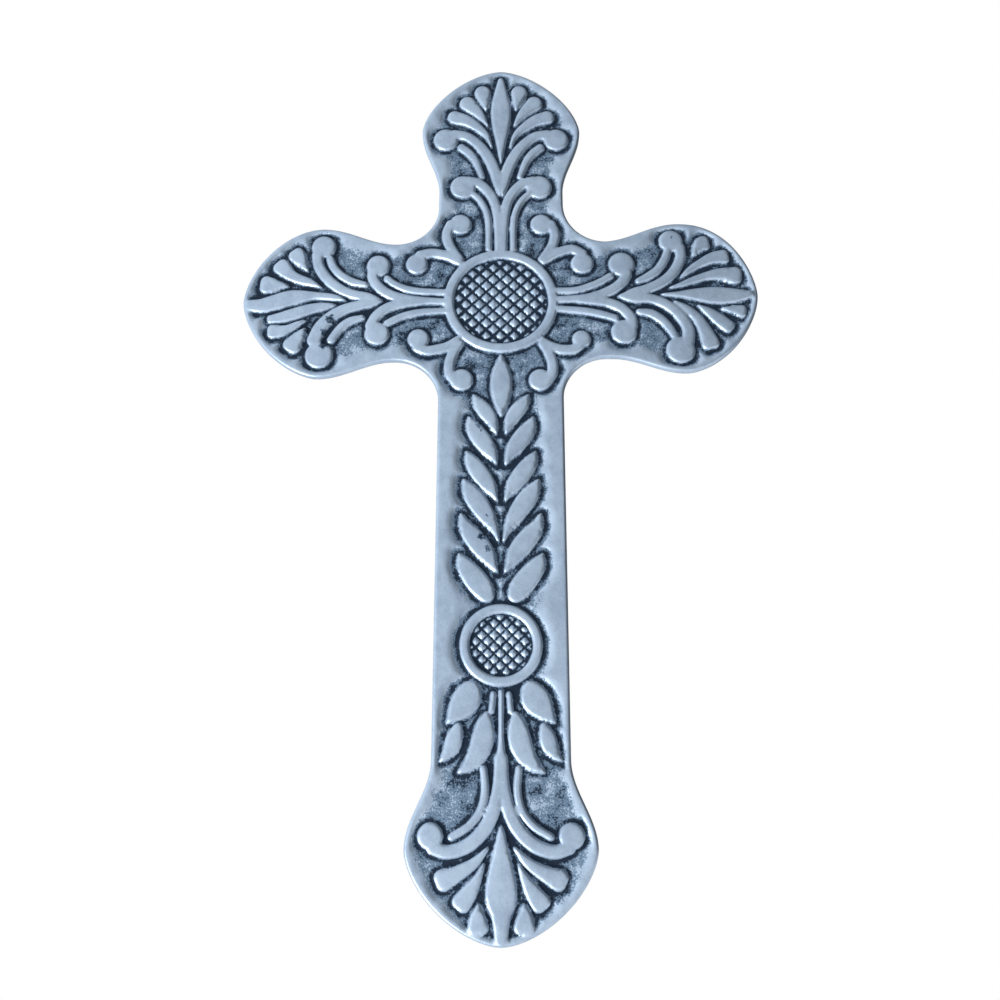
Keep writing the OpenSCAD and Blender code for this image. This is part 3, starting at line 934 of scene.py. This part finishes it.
def hang_key_light():
    """A round softbox low on the left, aimed at the shaft."""
    data = bpy.data.lights.new("key", "AREA")
    data.shape, data.size, data.energy = "DISK", KEY_SIZE, KEY_POWER
    lamp = bpy.data.objects.new("key", data)
    lamp.location = KEY_PLACE
    aim = Vector((0, 0, RING_PLACE + KEY_AIM)) - Vector(KEY_PLACE)
    lamp.rotation_euler = aim.to_track_quat("-Z", "Y").to_euler()
    bpy.context.scene.collection.objects.link(lamp)


def light_world():
    """White to the camera. The metal sees a room instead, brightest on one side."""
    world = bpy.data.worlds.new("studio")
    bpy.context.scene.world = world
    world.use_nodes = True
    Wire.tree = world.node_tree
    Wire.tree.nodes.clear()
    seen = Wire.node("ShaderNodeLightPath", out=0)
    backdrop = Wire.node("ShaderNodeBackground", Color=(1, 1, 1, 1), Strength=1.0)
    way = Wire.node("ShaderNodeTexCoord", out=0)
    facing = Wire.node("ShaderNodeVectorMath", {"operation": "DOT_PRODUCT"}, out=1,
                       n0=way, n1=BRIGHT_SIDE)
    light = (ROOM_LIGHT + facing * ROOM_FALL).math("MAXIMUM", ROOM_LEAST)
    room = Wire.node("ShaderNodeBackground", Color=(0.95, 0.98, 1, 1),
                     Strength=light.math("MINIMUM", ROOM_MOST))
    mixed = Wire.node("ShaderNodeMixShader", n0=seen, n1=room, n2=backdrop)
    Wire.node("ShaderNodeOutputWorld", Surface=mixed)


def lay_floor():
    """A pale floor that the camera and the metal see as white, but for the shadow on it."""
    bpy.ops.object.select_all(action="DESELECT")
    bpy.ops.mesh.primitive_plane_add(size=FLOOR_SIZE, location=(0, 0, LOW.z - FLOOR_DROP))
    floor = bpy.context.object
    floor.name = "floor"
    made = bpy.data.materials.new("pale floor")
    made.use_nodes = True
    Wire.tree = made.node_tree
    Wire.tree.nodes.clear()
    path = Wire.tree.nodes.new("ShaderNodeLightPath")
    seen = Wire(path.outputs["Is Camera Ray"])
    for ray in ("Is Glossy Ray", "Is Transmission Ray"):
        seen = seen.math("MAXIMUM", Wire(path.outputs[ray]))
    paint = Wire.node("ShaderNodeBsdfPrincipled", Base_Color=(*[FLOOR_PAINT] * 3, 1), Roughness=0.9)
    glow = Wire.node("ShaderNodeEmission", Color=(1, 1, 1, 1), Strength=1.0)
    mixed = Wire.node("ShaderNodeMixShader", n0=seen * FLOOR_GLOW, n1=paint, n2=glow)
    Wire.node("ShaderNodeOutputMaterial", Surface=mixed)
    floor.data.materials.append(made)


cross = make_cross()
sink_hanger_hole(cross)
cross.data.materials.clear()
cross.data.materials.append(cast_metal())
only(cross)
bpy.ops.object.shade_smooth()
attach(cross, "root")
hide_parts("cross")

place_camera()
light_world()
lay_floor()
hang_key_light()
bpy.context.scene.view_settings.view_transform = "Standard"
